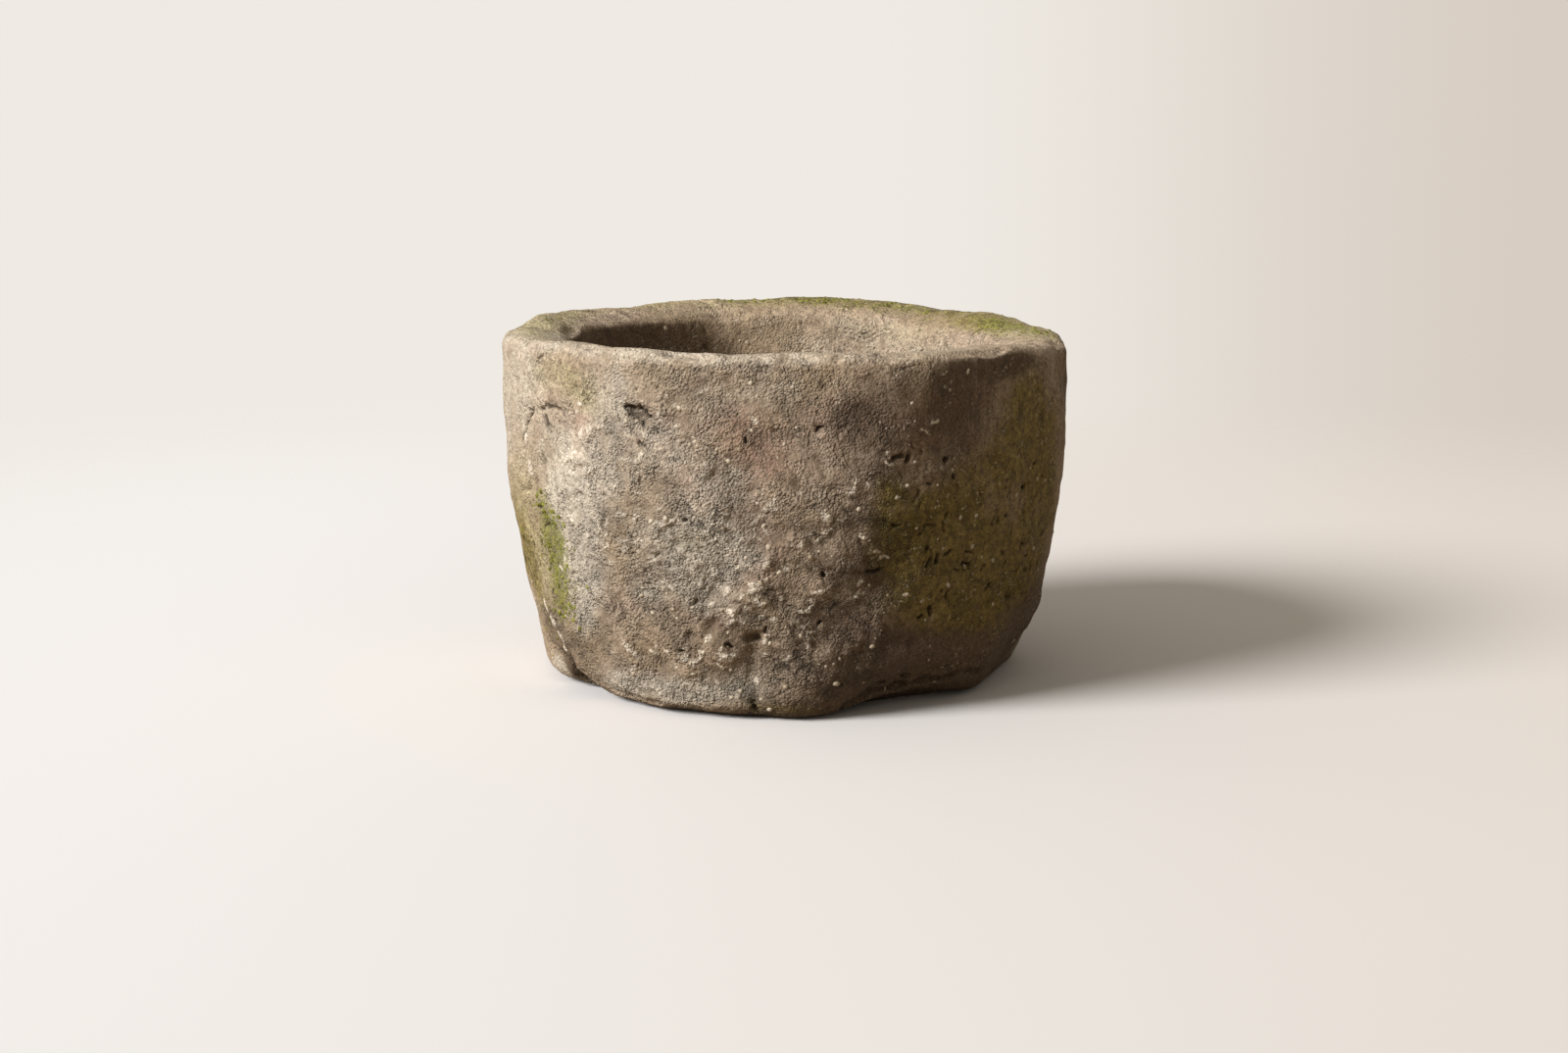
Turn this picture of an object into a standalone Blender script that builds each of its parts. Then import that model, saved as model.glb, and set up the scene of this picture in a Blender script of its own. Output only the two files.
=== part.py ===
"""Hewn stone planter: one block of sandstone, dressed round outside and hollowed into a bowl.

The block is lofted through rings. Each ring starts as a station of the turned section, which runs
from the drain out along the underside, up the flank, over the lip and down into the bowl, back to
the drain. The mason's facets, the uneven lip and the knocks of its long use then move the ring.
Metres, +Z up, the planter's front towards -Y.
"""

import math
from collections import namedtuple

import bmesh
import bpy
from mathutils import Vector

# Sizes of the block
BODY_RADIUS = 0.3825  # from the axis to a facet, high on the flank
RIM_HEIGHT = 0.470  # mean height of the lip above the ground
BELLY_HEIGHT = 0.400  # below this the flank draws in towards the foot
FLANK_TAPER = 0.052  # how far the flank has drawn in at the ground
HEEL_RADIUS = 0.036  # round between the flank and the underside
FOOT_MARGIN = 0.030  # the underside is dressed flat up to this far inside the heel

# Sizes of the lip
WALL = 0.0965  # thickness of the wall at the lip
LIP_OUTER_RADIUS = 0.015
LIP_INNER_RADIUS = 0.016
LIP_FALL = 0.012  # the worn lip slopes down to the bowl by this much
RIM_TILT = 0.0055  # the lip stands this much higher at the back left than the mean
RIM_WAVE = 0.003  # height of the waves that wear has left along the lip

# Sizes of the bowl and its drain
BOWL_OFF_SIDE = -0.008  # the bowl was sunk this far off the block's middle: below 0 is to the left
BOWL_OFF_BACK = 0.004  # and this far behind it
FLOOR = 0.130  # thickness of the floor where it meets the drain
BOWL_TAPER = 0.028  # how far the bowl's wall draws in on its way down
BOWL_CORNER = 0.085  # round between the bowl's wall and its floor
FLOOR_FALL = 0.010  # the bowl's floor falls this much towards the drain
DRAIN_RADIUS = 0.020
DRAIN_FLARE = 0.006  # the drain's mouth is opened out by this much

# Spacing of the loft
SEGMENTS = 96
FLANK_STATIONS = 16
HEEL_STATIONS = 4
LIP_CORNER_STATIONS = 3
LIP_TOP_STATIONS = 3
BOWL_STATIONS = 7
CORNER_STATIONS = 5
FLOOR_STATIONS = 3

# The dressed facets, anticlockwise from +X: the way each one faces in degrees, and its distance
# from the axis as a share of BODY_RADIUS. The lower course was dressed apart from the upper one.
UPPER_FACET_SHARES = (
    (-92, 0.990), (-43, 0.980), (-3, 0.989), (38, 0.984),
    (84, 0.998), (127, 0.986), (171, 0.996), (-143, 0.988),
)
LOWER_FACET_SHARES = (
    (-106, 0.990), (-64, 0.962), (-25, 0.962), (16, 0.982), (57, 0.982),
    (98, 0.994), (139, 0.984), (-176, 1.008), (-140, 0.998),
)
BOWL_FACETS = 15  # flutes that the point chisel left down the bowl's wall
FACET_SHARPNESS = 11  # higher is a crisper edge between two facets
BOWL_SHARPNESS = 50
COURSE_SHARE = 0.45  # the two courses meet at this share of RIM_HEIGHT

# Swells of the flank: waves round it, waves up it, phase in degrees, size as a share of BODY_RADIUS.
# The last four are the hollows and ridges that the mason's chisel left, about 100 mm apart.
SWELL_SHARES = (
    (3, 0.6, 40, 0.0040), (5, 1.1, 200, 0.0035), (9, 1.7, 95, 0.0030),
    (14, 4.1, 20, 0.0036), (21, 3.4, 140, 0.0036), (18, 4.8, 300, 0.0034), (24, 4.3, 75, 0.0032),
)

# The lip's waves: waves round it, phase in degrees, size as a share of RIM_WAVE
LIP_WAVE_SHARES = ((2, 270, 1.3), (3, 250, 0.4), (5, 20, 0.4), (9, 130, 0.5), (14, 300, 0.3))
TILT_AZIMUTH = 135

# Knocks taken out of the flank: azimuth in degrees, then height as a share of RIM_HEIGHT, and half
# width, half height and depth as shares of BODY_RADIUS
KNOCK_SHARES = (
    (-154, 0.06, 0.085, 0.090, 0.030),  # the notch in the heel at the front left
    (-134, 0.03, 0.160, 0.040, 0.012),  # the scar that runs on from it
    (-96, 0.15, 0.100, 0.190, 0.018),  # the hollow low in the front
    (-121, 0.17, 0.110, 0.120, 0.009),  # and a shallower one to its left
    (-58, 0.03, 0.340, 0.080, 0.064),  # the heel broken away at the front right
    (-14, 0.04, 0.360, 0.120, 0.062),  # the right flank drawn in low down
    (-166, 0.78, 0.100, 0.200, 0.014),  # where a skin of stone has come off the left flank
    (-78, 0.30, 0.110, 0.090, 0.010),
    (22, 0.55, 0.160, 0.170, 0.012),
    (97, 0.34, 0.150, 0.150, 0.014),
    (149, 0.12, 0.150, 0.120, 0.018),
)

# Lifts of the underside's edge: azimuth and half width in degrees, height as a share of HEEL_RADIUS
HEEL_LIFT_SHARES = ((-58, 19, 0.44), (-112, 14, 0.12), (-148, 20, 0.12), (36, 26, 0.20), (112, 20, 0.16))

# Worn stretches of the lip's outer edge: azimuth and half width in degrees, depth as a share of
# LIP_OUTER_RADIUS
WEAR_SHARES = ((4, 24, 0.45), (-172, 22, 0.25), (58, 15, 0.20), (-52, 12, 0.20))

# Nicks in the bowl's edge: azimuth and half width in degrees, depth as a share of LIP_INNER_RADIUS
NICK_SHARES = ((-74, 8, 0.40), (-149, 8, 0.35), (112, 9, 0.25), (31, 9, 0.25))

# A station's radius and height, how far it follows the outside and not the bowl, and how far it
# belongs to the bowl's edge, each from 0 to 1
Station = namedtuple("Station", "radius height outside edge")


def arc(centre_radius, centre_height, radius, start, end, steps):
    """Points round an arc of the section, angles in degrees from outwards, both ends included."""
    angles = [math.radians(start + (end - start) * i / steps) for i in range(steps + 1)]
    return [(centre_radius + radius * math.cos(a), centre_height + radius * math.sin(a)) for a in angles]


def ease(value):
    """A smooth step from 0 to 1 as value goes from 0 to 1."""
    value = min(max(value, 0), 1)
    return value * value * (3 - 2 * value)


def flank_radius(height):
    """The flank's radius: upright above the belly, drawn in along a wide arc below it."""
    below = max(0, 1 - height / BELLY_HEIGHT)
    return BODY_RADIUS - FLANK_TAPER * below * below


def underside_stations():
    """The flat foot, out from the drain, and the heel that turns up from it."""
    heel_start = flank_radius(HEEL_RADIUS) - HEEL_RADIUS
    foot = heel_start - FOOT_MARGIN
    flat = [DRAIN_RADIUS + DRAIN_FLARE, (DRAIN_RADIUS + foot) / 2, foot, foot + FOOT_MARGIN / 2]
    stations = [Station(r, 0, ease(r / heel_start), 0) for r in flat]
    heel = arc(heel_start, HEEL_RADIUS, HEEL_RADIUS, -90, 0, HEEL_STATIONS)
    return stations + [Station(r, h, 1, 0) for r, h in heel]


def flank_stations():
    """Up the flank, from the heel to the lip."""
    low, high = HEEL_RADIUS, RIM_HEIGHT - LIP_OUTER_RADIUS
    heights = [low + (high - low) * (i + 1) / FLANK_STATIONS for i in range(FLANK_STATIONS)]
    return [Station(flank_radius(h), h, 1, 0) for h in heights]


def lip_stations():
    """Over the lip: a worn round outside, a top that slopes to the bowl, and a worn round inside."""
    outer = flank_radius(RIM_HEIGHT - LIP_OUTER_RADIUS) - LIP_OUTER_RADIUS
    inner = BODY_RADIUS - WALL + LIP_INNER_RADIUS
    inner_height = RIM_HEIGHT - LIP_FALL - LIP_INNER_RADIUS
    first = arc(outer, RIM_HEIGHT - LIP_OUTER_RADIUS, LIP_OUTER_RADIUS, 0, 90, LIP_CORNER_STATIONS)
    last = arc(inner, inner_height, LIP_INNER_RADIUS, 90, 180, LIP_CORNER_STATIONS)
    top = []
    for i in range(1, LIP_TOP_STATIONS):
        share = i / LIP_TOP_STATIONS
        top.append((outer + (inner - outer) * share, RIM_HEIGHT - LIP_FALL * share * share))
    stations = [Station(r, h, 1, 0) for r, h in first[1:]]
    for i, (r, h) in enumerate(top, 1):
        share = i / LIP_TOP_STATIONS
        stations.append(Station(r, h, 1 - share, share))
    return stations + [Station(r, h, 0, 1) for r, h in last]


def bowl_stations():
    """Down the bowl's wall, round its corner and in across its floor."""
    top_radius, bottom_radius = BODY_RADIUS - WALL, BODY_RADIUS - WALL - BOWL_TAPER
    top = RIM_HEIGHT - LIP_FALL - LIP_INNER_RADIUS
    bottom = FLOOR + FLOOR_FALL + BOWL_CORNER
    stations = []
    for i in range(1, BOWL_STATIONS):
        share = i / BOWL_STATIONS
        radius = top_radius + (bottom_radius - top_radius) * share
        stations.append(Station(radius, top + (bottom - top) * share, 0, max(0, 1 - 2 * share)))
    corner = arc(bottom_radius - BOWL_CORNER, bottom, BOWL_CORNER, 0, -90, CORNER_STATIONS)
    stations += [Station(r, h, 0, 0) for r, h in corner]
    floor_edge, mouth = bottom_radius - BOWL_CORNER, DRAIN_RADIUS + DRAIN_FLARE
    for i in range(1, FLOOR_STATIONS + 1):
        share = i / FLOOR_STATIONS
        radius = floor_edge + (mouth - floor_edge) * share
        stations.append(Station(radius, FLOOR + FLOOR_FALL * (1 - share), 0, 0))
    return stations


def drain_stations():
    """Down the drilled drain, to where the underside began."""
    return [Station(DRAIN_RADIUS, FLOOR - DRAIN_FLARE, 0, 0), Station(DRAIN_RADIUS, DRAIN_FLARE, 0, 0)]


def faceted(azimuth, facets, sharpness):
    """Reach of a many-sided outline at an azimuth, its corners rounded off, as a share of its radius."""
    total = 0
    for facing, distance in facets:
        total += (max(math.cos(azimuth - math.radians(facing)), 0) / distance) ** sharpness
    return total ** (-1 / sharpness)


def outside_outline(azimuth, height):
    """The dressed outside: the lower course of facets passes into the upper one, with its swells."""
    upper = faceted(azimuth, UPPER_FACET_SHARES, FACET_SHARPNESS)
    lower = faceted(azimuth, LOWER_FACET_SHARES, FACET_SHARPNESS)
    up = height / RIM_HEIGHT
    outline = lower + (upper - lower) * ease((up - COURSE_SHARE) / COURSE_SHARE + 1 / 2)
    for around, rise, phase, size in SWELL_SHARES:
        shift = math.radians(phase)
        outline += size * math.sin(around * azimuth + shift) * math.sin(2 * math.pi * rise * up + shift)
    return outline


def bowl_outline(azimuth, radius):
    """The bowl keeps an even wall inside the outside's outline, and has the chisel's flutes."""
    flutes = [(360 * i / BOWL_FACETS, 1) for i in range(BOWL_FACETS)]
    wall_share = ease(radius / (BODY_RADIUS - WALL - BOWL_TAPER))
    even = 1 + (faceted(azimuth, UPPER_FACET_SHARES, FACET_SHARPNESS) - 1) * wall_share
    return even * (1 + (faceted(azimuth, flutes, BOWL_SHARPNESS) - 1) * wall_share)


def apart(azimuth, degrees):
    """How far an azimuth lies from one given in degrees, the short way round, in radians."""
    return (azimuth - math.radians(degrees) + math.pi) % (2 * math.pi) - math.pi


def rim_rise(azimuth):
    """How far the lip stands above or below its mean height."""
    rise = RIM_TILT * math.cos(azimuth - math.radians(TILT_AZIMUTH))
    for around, phase, size in LIP_WAVE_SHARES:
        rise += RIM_WAVE * size * math.sin(around * azimuth + math.radians(phase))
    return rise


def knocked_in(azimuth, height):
    """How far the knocks have taken the flank in at a point."""
    depth = 0
    for facing, up, half_width, half_height, deep in KNOCK_SHARES:
        across = apart(azimuth, facing) / half_width
        along = (height - up * RIM_HEIGHT) / (half_height * BODY_RADIUS)
        depth += deep * BODY_RADIUS * math.exp(-((across * across + along * along) ** 1.5))
    return depth


def heel_lift(azimuth, station):
    """How far the underside's edge is lifted off the ground: nothing on the foot, most at the heel."""
    heel_start = flank_radius(HEEL_RADIUS) - HEEL_RADIUS
    outwards = ease((station.radius - heel_start + FOOT_MARGIN) / FOOT_MARGIN)
    upwards = 1 - ease(station.height / (3 * HEEL_RADIUS))
    lift = 0
    for facing, half_width, size in HEEL_LIFT_SHARES:
        across = apart(azimuth, facing) / math.radians(half_width)
        lift += size * HEEL_RADIUS * math.exp(-(across**4))
    return lift * outwards * upwards


def along_lip(azimuth, dips):
    """The depth at an azimuth of a row of dips in the lip, in the unit of their depths."""
    depth = 0
    for facing, half_width, deep in dips:
        across = apart(azimuth, facing) / math.radians(half_width)
        depth += deep * math.exp(-across * across)
    return depth


def worn_down(azimuth, station):
    """How far wear has lowered the lip's outer edge: most at its rim, nothing at the bowl."""
    near_top = ease((station.height - RIM_HEIGHT) / (3 * LIP_OUTER_RADIUS) + 1)
    return along_lip(azimuth, WEAR_SHARES) * LIP_OUTER_RADIUS * near_top * station.outside**3


def hewn_ring(station):
    """The station's ring of points, moved as the mason and the years have moved it."""
    ring = []
    for i in range(SEGMENTS):
        azimuth = 2 * math.pi * i / SEGMENTS
        outside = outside_outline(azimuth, station.height) * station.outside
        inside = bowl_outline(azimuth, station.radius) * (1 - station.outside)
        radius = station.radius * (outside + inside)
        height = station.height
        nick = along_lip(azimuth, NICK_SHARES) * LIP_INNER_RADIUS * station.edge
        radius -= knocked_in(azimuth, station.height) * station.outside
        height += rim_rise(azimuth) * (station.height / RIM_HEIGHT) ** 3
        height += heel_lift(azimuth, station) - worn_down(azimuth, station)
        bowl_off = Vector((BOWL_OFF_SIDE, BOWL_OFF_BACK, 0)) * (1 - station.outside)
        outwards = Vector((math.cos(azimuth), math.sin(azimuth), 0))
        ring.append(outwards * (radius + nick) + bowl_off + Vector((0, 0, height - nick)))
    return ring


def loft(rings):
    """One closed skin through the rings, the last one joined to the first."""
    mesh = bmesh.new()
    loops = [[mesh.verts.new(point) for point in ring] for ring in rings]
    for inner, outer in zip(loops, loops[1:] + loops[:1]):
        for i in range(SEGMENTS):
            after = (i + 1) % SEGMENTS
            mesh.faces.new((inner[i], inner[after], outer[after], outer[i]))
    bmesh.ops.recalc_face_normals(mesh, faces=mesh.faces)
    return mesh


def centre_on_foot(mesh):
    """Puts the block's middle, seen from above, over the origin."""
    xs = [v.co.x for v in mesh.verts]
    ys = [v.co.y for v in mesh.verts]
    middle = Vector(((min(xs) + max(xs)) / 2, (min(ys) + max(ys)) / 2, 0))
    bmesh.ops.translate(mesh, verts=mesh.verts, vec=-middle)


def sandstone():
    """Weathered sandstone: warm grey-brown, dry and matt."""
    material = bpy.data.materials.new("weathered_sandstone")
    material.use_nodes = True
    surface = material.node_tree.nodes["Principled BSDF"]
    surface.inputs["Base Color"].default_value = (0.343, 0.270, 0.188, 1)
    surface.inputs["Roughness"].default_value = 0.92
    surface.inputs["Metallic"].default_value = 0
    return material


def build_stone_body():
    """The planter itself, cut from one block."""
    outside = underside_stations() + flank_stations() + lip_stations()
    inside = bowl_stations() + drain_stations()
    skin = loft([hewn_ring(station) for station in outside + inside])
    centre_on_foot(skin)
    mesh = bpy.data.meshes.new("stone_body")
    skin.to_mesh(mesh)
    skin.free()
    mesh.shade_smooth()
    mesh.set_sharp_from_angle(angle=math.radians(50))
    mesh.materials.append(sandstone())
    body = bpy.data.objects.new("stone_body", mesh)
    bpy.context.scene.collection.objects.link(body)


for old in list(bpy.data.objects):
    bpy.data.objects.remove(old)
build_stone_body()
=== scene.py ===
"""The looks of a hewn sandstone planter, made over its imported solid.

The stone is an even skin laid over the solid, carved with the cracks, slots and pits of the real
block and given the relief of its loosened grains. Pale grit stands out of it and moss grows on it.
"""

import math

import bmesh
import bpy
import numpy as np
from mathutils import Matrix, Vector
from mathutils.bvhtree import BVHTree


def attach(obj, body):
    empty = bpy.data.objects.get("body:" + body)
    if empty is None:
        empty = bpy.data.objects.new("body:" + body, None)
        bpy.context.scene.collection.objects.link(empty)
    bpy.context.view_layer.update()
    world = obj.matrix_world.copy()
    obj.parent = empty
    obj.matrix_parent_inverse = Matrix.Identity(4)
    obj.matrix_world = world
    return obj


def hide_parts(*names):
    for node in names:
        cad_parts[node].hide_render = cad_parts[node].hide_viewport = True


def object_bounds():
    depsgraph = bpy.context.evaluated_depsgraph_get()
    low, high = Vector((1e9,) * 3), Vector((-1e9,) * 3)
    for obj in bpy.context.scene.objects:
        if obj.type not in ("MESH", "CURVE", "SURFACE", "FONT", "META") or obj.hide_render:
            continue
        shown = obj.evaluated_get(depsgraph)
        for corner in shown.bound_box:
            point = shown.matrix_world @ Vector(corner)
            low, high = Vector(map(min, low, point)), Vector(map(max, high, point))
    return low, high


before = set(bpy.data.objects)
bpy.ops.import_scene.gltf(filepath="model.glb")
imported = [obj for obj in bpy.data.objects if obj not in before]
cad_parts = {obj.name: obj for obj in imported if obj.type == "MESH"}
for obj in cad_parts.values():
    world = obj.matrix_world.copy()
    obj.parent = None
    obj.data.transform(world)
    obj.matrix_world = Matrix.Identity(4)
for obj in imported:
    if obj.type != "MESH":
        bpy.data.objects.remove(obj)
solid_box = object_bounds()

# Stone body
# One block of coarse sandstone, hewn round with a point chisel and hollowed into a bowl. Long years
# outdoors have loosened its grains, opened its pits and worn its lip. It stands by its own weight.

SKIN_STEP = 0.0034  # side of the skin's squares, in metres as all sizes that don't say otherwise
SKIN_TRIANGLES = 190000  # the skin is thinned to this, most where it is flattest
ROUNDING_STEPS = 14  # this much smoothing takes the edges off the squares
FINE_WIDTH = 0.0065  # marks narrower than this get finer squares
FINE_REACH = 1.3  # the skin is cut finer this many mark widths round a mark
WALL_MIDDLE = 0.335  # distance from the axis that parts the outside from the bowl
WALL_BLEND = 0.02  # the one passes into the other over this distance
BOWL_FOOT = 0.12  # below this height all stone is outside
LIP_FOOT = 0.440  # above this height a level face is the lip
LIP_BLEND = 0.012  # and over this height it comes to count as lip in full
LIP_LEAST_LEVEL = 0.3  # how far up a face must look to be lip: 1 is straight up
LIP_LEVEL_BLEND = 0.5  # and how much further up it must look to count in full
SHAKE_WAVES = (0.007, 0.013, 0.031)  # lengths of the waves that shake the marks
SHAKE_SHARE = 0.055  # how far a wave sways, as a share of its length
TAPER = 0.45  # how much a mark narrows from its middle to its ends
GENTLE = 0.55  # a mark no deeper than this share of its width holds no painted shade

# Carved marks: width and depth in millimetres, then the line they follow. On the flank and in the
# bowl its points are azimuths in degrees, anticlockwise from the right, and heights in millimetres.
FLANK_MARKS = (
    (2.4, 5, ((-155, 383), (-152.4, 381.5), (-150.6, 380.5), (-148.6, 383.5), (-146.4, 383))),
    (3.8, 8, ((-151.4, 367), (-150.2, 374.5), (-149.3, 379))),
    (3.8, 8, ((-147.1, 379), (-145.8, 384.5), (-144.8, 389.5))),
    (2.6, 6, ((-144.6, 391), (-142.8, 388.5), (-141, 387), (-139.2, 385.5), (-137.4, 379))),
    (2.4, 5, ((-150.3, 372), (-151.6, 359), (-153.6, 345), (-154.8, 334), (-153.3, 318))),
    (4.4, 7, ((-144.2, 375), (-143.8, 367.5), (-143.9, 360))),
    (3, 5, ((-145.4, 371), (-143.8, 366), (-142.6, 364))),
    (4.2, 5, ((-146.6, 322), (-146, 315))),
    (3, 3.6, ((-146.5, 440), (-144.5, 455))),
    (12.5, 10, ((-118.4, 398), (-117, 394))),
    (4.6, 6, ((-119.4, 402), (-118.6, 397))),
    (4.4, 6, ((-117.4, 399), (-117, 406))),
    (4.8, 6, ((-119.3, 391), (-118, 388))),
    (4.4, 6, ((-116.4, 390), (-115.7, 399))),
    (3.4, 6, ((-120.2, 398), (-119.6, 401))),
    (3.4, 6, ((-115.4, 392), (-114.8, 389))),
    (3.4, 6, ((-116.8, 383.5), (-116.4, 382))),
    (4.6, 6, ((-117.2, 356), (-116.2, 352))),
    (4, 4.4, ((-114.4, 343), (-113.5, 341))),
    (2.4, 3, ((-121.5, 235.6), (-118, 236.6), (-114.8, 237.3))),
    (2.8, 3.4, ((-120.7, 182), (-116.5, 210.6), (-113.7, 227.5))),
    (2.8, 2, ((-111.9, 412), (-112.8, 398))),
    (2.6, 1.8, ((-113.2, 345), (-110.2, 352))),
    (5.2, 7, ((-74, 200), (-72.4, 199.3), (-70.6, 200.5))),
    (2.4, 2.4, ((-71.8, 354), (-70.6, 338), (-69.4, 326), (-68.2, 316))),
    (2.8, 2.4, ((-92.4, 396), (-92, 376), (-91.2, 366))),
    (4, 2.2, ((-88.6, 372), (-86.4, 378))),
    (4, 5.6, ((-155.2, 224), (-154.8, 211))),
    (4.4, 6.4, ((-156.6, 207), (-156, 192))),
    (3.8, 5.2, ((-161, 180), (-160.6, 170))),
    (3.8, 5.6, ((-167.6, 149), (-167.2, 137))),
    (9, 18, ((-153.8, 50), (-152, 42), (-150.4, 36))),
    (20, 34, ((-150.6, 34), (-147.6, 28), (-145, 22))),
    (36, 50, ((-148.4, 16), (-144, 6))),
    (6, 2.6, ((-138.9, 313), (-136.1, 310), (-133.7, 313), (-131.1, 323))),
    (5, 2.2, ((-139.4, 291), (-136.2, 285), (-132.9, 277))),
    (2.8, 3, ((-158.7, 282), (-155.6, 276), (-152.2, 270))),
    (6, 4, ((-161.6, 75), (-160, 56), (-159, 39))),
    (9, 6, ((-136, 20), (-128, 16), (-120, 13))),
    (11, 4.8, ((-95.2, 118), (-96.6, 100), (-97.2, 86), (-97, 47), (-96.3, 14))),
    (9, 8, ((-95.9, 113), (-97.6, 109))),
    (9, 7, ((-110.4, 111), (-108.8, 109))),
    (11, 3.6, ((-101.6, 152), (-104.6, 126), (-107.4, 100))),
    (18, 3, ((-120, 110), (-117, 80), (-116, 50))),
    (4, 4.6, ((-51.2, 208), (-48.8, 206))),
    (3.6, 4.4, ((-37.2, 236), (-37, 222))),
    (3.6, 4.4, ((-31, 176), (-31.4, 160))),
    (4.6, 4.6, ((-34, 170), (-34.2, 168))),
    (4, 4, ((-60.6, 218), (-60.2, 214))),
    (4, 4, ((-56.6, 166), (-56.4, 164))),
    (3.6, 3.6, ((-42, 292), (-42.2, 286))),
    (3.6, 3.6, ((-39.6, 200), (-39.6, 196))),
    (22, 5, ((-66, 58), (-56, 52), (-44, 60))),
    (12, 10, ((-76, 14), (-71, 26), (-66, 30))),
    (13, 12, ((-63, 34), (-58, 30))),
    (12, 11, ((-55, 36), (-49, 34), (-45, 40))),
    (10, 9, ((-42, 40), (-37, 36))),
    (8, 7, ((-61, 50), (-59.5, 46))),
    (7, 6, ((-68, 44), (-66, 42))),
    (3, 4.4, ((124, 410), (126, 372), (124.5, 330), (127, 300))),
    (4.6, 5, ((40, 270), (44.5, 262), (47, 268))),
    (12, 7, ((70, 180), (70.6, 176))),
    (14, 8, ((158, 250), (158.8, 246))),
)
BOWL_MARKS = (
    (2.2, 2.2, ((85.2, 448), (86, 430), (85.2, 405), (85.8, 380), (84.8, 350), (86, 320))),
    (4.4, 3.6, ((36, 430), (35.6, 418))),
    (4, 3, ((29, 432), (28.6, 420))),
    (3.4, 3.4, ((-60, 380), (-58, 300), (-59, 240))),
)
# On the lip the points are azimuths and distances from the axis, and the marks are chips and hollows
LIP_MARKS = (
    (8, 5, ((-80.4, 385), (-79.6, 381))),
    (5, 4, ((-97, 330), (-96, 338))),
    (16, 4, ((-128, 345), (-124, 360))),
    (14, 6, ((-150, 300), (-141, 296), (-134, 292))),
    (15, 5, ((-118, 290), (-108, 286))),
    (12, 6, ((-98, 284), (-91, 284))),
    (16, 5, ((-80, 286), (-72, 288))),
    (12, 6, ((-58, 288), (-50, 290))),
    (15, 5, ((-112, 376), (-104, 380))),
    (12, 4, ((-90, 380), (-86, 381))),
    (17, 5.5, ((-72, 380), (-66, 381))),
    (13, 5, ((-134, 375), (-130, 376))),
    (11, 6, ((112, 372), (110, 352), (109, 330))),
    (15, 6, ((96, 376), (90, 378))),
    (13, 5, ((76, 290), (70, 288))),
    (16, 6, ((60, 350), (64, 340))),
    (15, 5.5, ((46, 376), (40, 378))),
    (14, 6, ((102, 290), (110, 288))),
    (12, 4.5, ((-56, 380), (-49, 381), (-42, 378))),
    (13, 5, ((140, 330), (146, 338))),
    (16, 6, ((128, 376), (136, 374))),
    (15, 5, ((12, 290), (4, 286))),
    (15, 5, ((-20, 380), (-12, 381))),
    (16, 6, ((174, 290), (168, 286))),
    (15, 5, ((-168, 376), (-174, 377))),
)
# Bruises: pale ridges where the chisel crushed the grains, with the same sizes, raised and not sunk
FLANK_BRUISES = (
    (7, 1.4, ((-157.9, 117), (-156.2, 108))),
    (8, 1.4, ((-154.6, 98), (-153, 88))),
    (8, 1.6, ((-152.2, 78), (-151.1, 66), (-152, 57))),
    (6, 1.4, ((-140.1, 322), (-137.4, 326.5), (-134, 332), (-130.7, 332), (-128.6, 328))),
    (5, 1.4, ((-132, 274), (-129.8, 282), (-128, 290))),
    (7, 1.2, ((-135.6, 360), (-133.7, 354))),
    (8, 1.2, ((-154, 352), (-152.6, 338))),
    (7, 1.2, ((-151.8, 312), (-152, 294))),
    (4.4, 1.2, ((-131.3, 309), (-129.7, 315), (-128.2, 320))),
    (4.8, 1.6, ((-104.6, 262), (-102.6, 263), (-100.8, 259), (-99.4, 252))),
    (4.6, 1.6, ((-103.8, 238), (-102.4, 240), (-101.2, 243))),
    (4.6, 1.4, ((-123.6, 226), (-122.2, 233), (-121, 238))),
    (4, 1.2, ((-113.6, 258), (-110.4, 262), (-108.8, 260))),
    (5, 1.4, ((-110.8, 228), (-109.2, 222), (-107.6, 216))),
    (7, 1.4, ((-106.4, 210), (-104.4, 206), (-103.4, 198))),
    (5.6, 1.2, ((-112.4, 246), (-111, 238))),
    (4, 1.2, ((-98, 150), (-95.6, 156), (-94, 162))),
    (7, 1, ((-101.6, 148), (-99.8, 142), (-98.8, 134))),
    (6, 1.2, ((-103.4, 180), (-102, 174))),
    (5, 1.2, ((-125.8, 330), (-124.4, 318), (-122.6, 310))),
    (5, 1.2, ((-130.4, 300), (-128.8, 288), (-127.4, 280))),
    (4.6, 1.2, ((-126, 296), (-124.4, 286))),
    (5, 1.2, ((-132, 262), (-130, 256), (-128.6, 246))),
    (4.6, 1.2, ((-116, 170), (-113.8, 174), (-112, 172))),
    (6, 1.2, ((-119.4, 158), (-118, 162))),
    (6, 1.4, ((-105.2, 322), (-104.2, 319))),
    (6.6, 1.4, ((-99.6, 326), (-98.6, 322))),
    (5, 1.2, ((-84, 240), (-82.6, 247), (-81.4, 252))),
    (5, 1.2, ((-78.8, 300), (-77.6, 306), (-76.8, 314))),
    (3.6, 0.8, ((-62.8, 384), (-61.4, 384))),
    (3.6, 0.8, ((-65, 374), (-63.2, 368))),
    (6, 1.2, ((-96, 180), (-94.6, 186))),
    (6, 1.2, ((-90, 205), (-88.8, 209))),
    (8, 1.4, ((-112, 46), (-108, 38), (-104, 36))),
    (7, 1.4, ((-97.4, 60), (-96, 52))),
)
PIT_COUNT = 220  # small pits all over the block
PIT_WIDTHS = (0.0024, 0.0060)
PIT_DEPTH_SHARES = (0.6, 1.1)  # depths as shares of the width
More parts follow.
